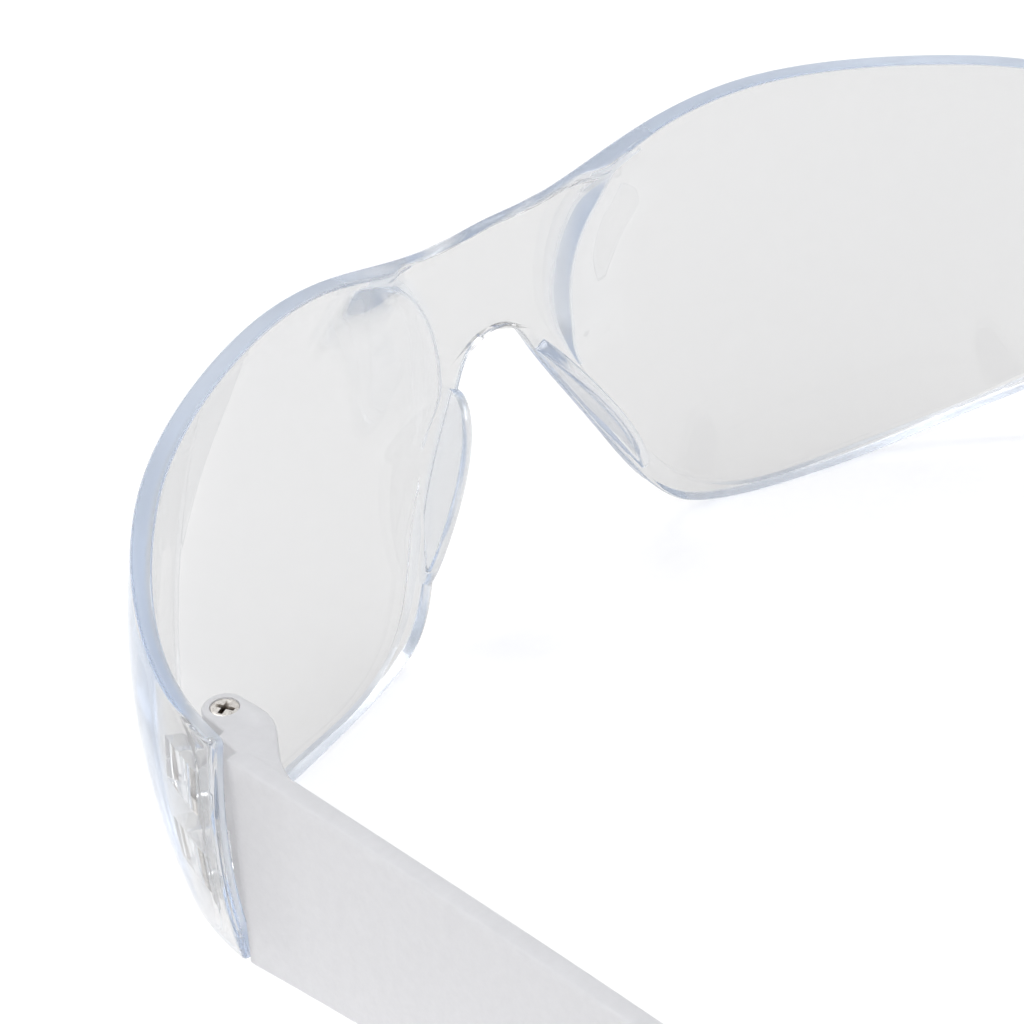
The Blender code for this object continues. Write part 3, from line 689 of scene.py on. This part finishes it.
def screw_rows():
    """(radius, z, depth of the thread) from the tip up to the top of the head."""
    top = BLOCK_TOP - HEAD_SUNK
    under = top - SCREW_HEAD_H
    flat = SCREW_HEAD_R - HEAD_ROUNDING
    rows = [(radius, SCREW_TIP + rise, 0) for radius, rise in TIP_CHAMFER]
    rows += [(SCREW_R, SCREW_TIP + THREAD_FROM + f, min(THREAD_DEPTH, f))
             for f in np.linspace(0, THREAD_LENGTH, THREAD_ROWS)]
    rows += [(SCREW_R, SCREW_TIP + THREAD_LENGTH + 0.7, 0), (SCREW_R, under - 0.1, 0)]
    rows += [(SCREW_R + 0.1, under, 0)]
    rows += [(SCREW_HEAD_R - 0.06, under, 0), (SCREW_HEAD_R, under + 0.06, 0)]
    for angle in np.radians(np.linspace(0, 90, 9)):
        rows.append((flat + HEAD_ROUNDING * math.cos(angle),
                     top - HEAD_DOME - HEAD_ROUNDING * (1 - math.sin(angle)), 0))
    rows += [(r, top - HEAD_DOME * (r / flat)**2, 0) for r in (0.95, 0.65, 0.3)]
    return rows


def build_screw(label, side, mat):
    """Cross-recess screw: nearly flat head, plain shank and a thread at its tip."""
    points, rings = [], []
    for radius, z, thread in screw_rows():
        rings.append(range(len(points), len(points) + SCREW_SIDES))
        for i, (x, y) in enumerate(circle(1.0, SCREW_SIDES)):
            phase = (z / THREAD_PITCH - i / SCREW_SIDES) % 1.0
            r = radius - thread * abs(2 * phase - 1) if thread else radius
            points.append((AXIS_X + (x - AXIS_X) * r, AXIS_Y + (y - AXIS_Y) * r, z))
    faces = [face for a, b in zip(rings, rings[1:]) for face in strip(a, b, True)]
    faces += [rings[0], rings[-1]]
    screw = mesh_object("screw", points, faces, side)
    boolean(screw, cross_cutter(side), "DIFFERENCE")
    # marks the deep part of the cross recess, which the steel paints near black as painted shade
    recess = screw.data.attributes.new("recess", "FLOAT", "POINT")
    for vertex in screw.data.vertices:
        depth = BLOCK_TOP - HEAD_SUNK - vertex.co.z / MM
        if RECESS_DEPTH / 2 < depth < SCREW_HEAD_H and off_axis(vertex.co) < SCREW_R:
            recess.data[vertex.index].value = 1.0
    name = f"hinge_screw_{label}"
    finish_piece(screw, name, f"temple_{label}", "screw_steel", mat, sharp=30)


def cross_cutter(side):
    """Tapered cross for the recess."""
    arm, half, turn = CROSS_ARM, CROSS_HALF, CROSS_TURN
    shape = [(arm, -half), (arm, half), (half, half), (half, arm), (-half, arm), (-half, half),
             (-arm, half), (-arm, -half), (-half, -half), (-half, -arm), (half, -arm), (half, -half)]
    top = BLOCK_TOP - HEAD_SUNK
    points = []
    for z, scale in zip((top - RECESS_DEPTH, top + 0.2), CROSS_SCALES):
        for x, y in shape:
            x, y = x * scale, y * (scale if abs(y) > half else 1)
            points.append((AXIS_X + x * math.cos(turn) - y * math.sin(turn),
                           AXIS_Y + x * math.sin(turn) + y * math.cos(turn), z))
    n = len(shape)
    faces = strip(range(n), range(n, 2 * n), True) + [range(n), range(n, 2 * n)]
    return mesh_object("cross", points, faces, side)


# ---------------------------------------------------------------- materials

def new_material(name):
    mat = bpy.data.materials.new(name)
    mat.use_nodes = True
    nodes = mat.node_tree.nodes
    return mat, nodes, mat.node_tree.links, nodes["Principled BSDF"], nodes["Material Output"]


def noise(nodes, links, scale, detail=2.0, roughness=0.5):
    """Noise over the object's own coordinates; scale is features per metre."""
    place = nodes.new("ShaderNodeTexCoord")
    texture = nodes.new("ShaderNodeTexNoise")
    texture.inputs["Scale"].default_value = scale
    texture.inputs["Detail"].default_value = detail
    texture.inputs["Roughness"].default_value = roughness
    links.new(place.outputs["Object"], texture.inputs["Vector"])
    return texture


def spread(nodes, links, source, low, high):
    """Map the middle of a noise's values to a range."""
    node = nodes.new("ShaderNodeMapRange")
    node.inputs["From Min"].default_value = 0.3
    node.inputs["From Max"].default_value = 0.7
    node.inputs["To Min"].default_value = low
    node.inputs["To Max"].default_value = high
    links.new(source.outputs["Fac"], node.inputs["Value"])
    return node


def bump(nodes, links, height, distance, strength):
    node = nodes.new("ShaderNodeBump")
    node.inputs["Distance"].default_value = distance
    node.inputs["Strength"].default_value = strength
    links.new(height, node.inputs["Height"])
    return node


def marked(nodes, name):
    """How far a point belongs to the faces that an attribute marks."""
    node = nodes.new("ShaderNodeAttribute")
    node.attribute_name = name
    return node.outputs["Fac"]


def two_colours(nodes, links, factor, first, second):
    """Colour that goes from the first, a value or a socket, to the second as the factor goes to 1."""
    mix = nodes.new("ShaderNodeMix")
    mix.data_type = "RGBA"
    if isinstance(first, tuple):
        mix.inputs["A"].default_value = (*first, 1)
    else:
        links.new(first, mix.inputs["A"])
    mix.inputs["B"].default_value = (*second, 1)
    links.new(factor, mix.inputs["Factor"])
    return mix.outputs["Result"]


def lets_lamps_through(nodes, links, shader, out, tint=None, colour=(1, 1, 1)):
    """Lamp light passes through the piece in a tint or one colour, instead of being blocked."""
    path = nodes.new("ShaderNodeLightPath")
    clear = nodes.new("ShaderNodeBsdfTransparent")
    clear.inputs["Color"].default_value = (*colour, 1)
    if tint:
        links.new(tint, clear.inputs["Color"])
    mix = nodes.new("ShaderNodeMixShader")
    links.new(path.outputs["Is Shadow Ray"], mix.inputs[0])
    links.new(shader.outputs[0], mix.inputs[1])
    links.new(clear.outputs[0], mix.inputs[2])
    links.new(mix.outputs[0], out.inputs["Surface"])


def clear_polycarbonate():
    """Polished clear moulding: its faint grey seen through the wall is painted shade standing in for a
    dimmer backdrop behind it; blue along the wall.
    """
    mat, nodes, links, shader, out = new_material("clear_polycarbonate_polished")
    shader.inputs["Transmission Weight"].default_value = 1.0
    shader.inputs["IOR"].default_value = 1.586
    edge = marked(nodes, "edge")
    # painted shade: the grey of both tones darkens whatever is seen through the visor, in place of a dimmer
    # backdrop; the second tone is bluer along marked edges and walls
    tone = two_colours(nodes, links, edge, (0.731, 0.729, 0.726), (0.70, 0.735, 0.785))
    # painted light: the lugs get a much lighter tone than the rest of the visor, which lifts the shade they
    # sit in behind the wing
    tone = two_colours(nodes, links, marked(nodes, "lug"), tone, (0.93, 0.93, 0.935))
    links.new(tone, shader.inputs["Base Color"])
    haze = spread(nodes, links, noise(nodes, links, 350, 4), 0.0, 0.025)
    drawn = spread(nodes, links, noise(nodes, links, 260, 2), 0.36, 0.48)
    finish = nodes.new("ShaderNodeMix")
    links.new(edge, finish.inputs["Factor"])
    links.new(haze.outputs["Result"], finish.inputs["A"])
    links.new(drawn.outputs["Result"], finish.inputs["B"])
    links.new(finish.outputs["Result"], shader.inputs["Roughness"])
    flow = bump(nodes, links, noise(nodes, links, 90, 1).outputs["Fac"], 0.00004, 0.12)
    links.new(flow.outputs["Normal"], shader.inputs["Normal"])
    absorb = nodes.new("ShaderNodeVolumeAbsorption")
    absorb.inputs["Color"].default_value = (0.10, 0.42, 0.88, 1)
    absorb.inputs["Density"].default_value = 4.5
    links.new(absorb.outputs[0], out.inputs["Volume"])
    passed = two_colours(nodes, links, edge, (0.95, 0.955, 0.965), (0.42, 0.42, 0.47))
    lets_lamps_through(nodes, links, shader, out, tint=passed)
    return mat


def frosted_polycarbonate():
    """Milky moulding with a fine spark-eroded grain."""
    mat, nodes, links, shader, out = new_material("frosted_polycarbonate_grained")
    cloud = spread(nodes, links, noise(nodes, links, 900, 5, 0.6), 0.0, 1.0)
    tone = two_colours(nodes, links, cloud.outputs["Result"], (0.73, 0.727, 0.74), (0.765, 0.762, 0.775))
    links.new(tone, shader.inputs["Base Color"])
    shader.inputs["Transmission Weight"].default_value = 0.45
    shader.inputs["IOR"].default_value = 1.586
    rough = spread(nodes, links, noise(nodes, links, 2600, 3), 0.42, 0.58)
    links.new(rough.outputs["Result"], shader.inputs["Roughness"])
    grain = bump(nodes, links, noise(nodes, links, 5200, 3, 0.6).outputs["Fac"], 0.00003, 0.35)
    links.new(grain.outputs["Normal"], shader.inputs["Normal"])
    lets_lamps_through(nodes, links, shader, out, colour=(0.65, 0.65, 0.66))
    return mat


def screw_steel():
    """Warm grey steel, unevenly worn, with painted shade, near black, deep in the cross recess."""
    mat, nodes, links, shader, _ = new_material("screw_steel_worn")
    wear = spread(nodes, links, noise(nodes, links, 2400, 4, 0.65), 0.0, 1.0)
    tone = two_colours(nodes, links, wear.outputs["Result"], (0.56, 0.52, 0.48), (0.80, 0.77, 0.73))
    # painted shade: the deep part of the cross recess is painted near black in place of the shade that
    # falls there
    tone = two_colours(nodes, links, marked(nodes, "recess"), tone, (0.07, 0.045, 0.03))
    links.new(tone, shader.inputs["Base Color"])
    shader.inputs["Metallic"].default_value = 1.0
    rough = spread(nodes, links, noise(nodes, links, 5000, 3), 0.22, 0.42)
    links.new(rough.outputs["Result"], shader.inputs["Roughness"])
    marks = bump(nodes, links, noise(nodes, links, 9000, 2).outputs["Fac"], 0.00001, 0.3)
    links.new(marks.outputs["Normal"], shader.inputs["Normal"])
    return mat


def floor_paper():
    mat, nodes, links, shader, _ = new_material("floor_paper")
    fibre = spread(nodes, links, noise(nodes, links, 700, 3), 0.0, 1.0)
    tone = two_colours(nodes, links, fibre.outputs["Result"], (0.95, 0.94, 0.932), (0.965, 0.955, 0.947))
    links.new(tone, shader.inputs["Base Color"])
    shader.inputs["Roughness"].default_value = 0.9
    shader.inputs["Specular IOR Level"].default_value = 0.0
    return mat


# ---------------------------------------------------------------- studio

def build_floor():
    bm = bmesh.new()
    bmesh.ops.create_grid(bm, x_segments=24, y_segments=24, size=3.0)
    mesh = bpy.data.meshes.new("floor")
    bm.to_mesh(mesh)
    bm.free()
    floor = bpy.data.objects.new("floor", mesh)
    floor.location.z = cad_low.z - FLOOR_GAP
    bpy.context.collection.objects.link(floor)
    mesh.materials.append(floor_paper())


def area_lamp(name, place, target, size, power, shadow=True):
    data = bpy.data.lights.new(name, "AREA")
    data.shape = "DISK"
    data.size = size
    data.energy = power
    data.use_shadow = shadow
    lamp = bpy.data.objects.new(name, data)
    lamp.location = place
    lamp.rotation_euler = (Vector(target) - Vector(place)).to_track_quat("-Z", "Y").to_euler()
    bpy.context.collection.objects.link(lamp)


def build_world():
    """White round the horizon and below, greyer blue overhead."""
    world = bpy.data.worlds.new("studio")
    bpy.context.scene.world = world
    world.use_nodes = True
    nodes, links = world.node_tree.nodes, world.node_tree.links
    place = nodes.new("ShaderNodeTexCoord")
    parts = nodes.new("ShaderNodeSeparateXYZ")
    ramp = nodes.new("ShaderNodeValToRGB")
    ramp.color_ramp.interpolation = "EASE"
    low, high = ramp.color_ramp.elements
    low.position, low.color = 0.30, (1, 1, 1, 1)
    high.position, high.color = 0.85, (0.70, 0.72, 0.745, 1)
    links.new(place.outputs["Generated"], parts.inputs[0])
    links.new(parts.outputs["Z"], ramp.inputs["Fac"])
    links.new(ramp.outputs["Color"], nodes["Background"].inputs["Color"])
    nodes["Background"].inputs["Strength"].default_value = 1.0


def build_camera():
    """Long lens behind, above and outside the wearer's left temple."""
    a, e = CAMERA_AZIMUTH, CAMERA_ELEVATION
    back = Vector((math.sin(a) * math.cos(e), -math.cos(a) * math.cos(e), math.sin(e)))
    level = Vector((0, 0, 1)).cross(back).normalized()
    turn = Matrix((level, back.cross(level), back)).transposed() @ Matrix.Rotation(CAMERA_ROLL, 3, "Z")
    data = bpy.data.cameras.new("camera")
    data.lens = CAMERA_LENS
    data.sensor_width = 36.0
    camera = bpy.data.objects.new("camera", data)
    place = (Vector(CAMERA_TARGET) + CAMERA_DISTANCE * back) * MM
    camera.matrix_world = Matrix.Translation(place) @ turn.to_4x4()
    bpy.context.collection.objects.link(camera)
    bpy.context.scene.camera = camera


def set_light_paths():
    """Enough bounces for light to run along the clear wall and out at its edges."""
    scene = bpy.context.scene
    scene.view_settings.view_transform = "Standard"
    scene.cycles.max_bounces = 250
    scene.cycles.transmission_bounces = 250
    scene.cycles.glossy_bounces = 250
    scene.cycles.diffuse_bounces = 6


def main():
    build_visor(clear_polycarbonate())
    frosted, steel = frosted_polycarbonate(), screw_steel()
    for label, side in SIDES:
        build_temple(label, side, frosted)
        build_screw(label, side, steel)
    build_floor()
    build_world()
    middle = (cad_low + cad_high) / 2
    area_lamp("key", (0.1, -0.5, 0.9), middle, 0.45, 3.5)
    area_lamp("fill", (0.9, 0.3, 0.5), middle, 0.8, 2.0, shadow=False)
    build_camera()
    set_light_paths()


main()
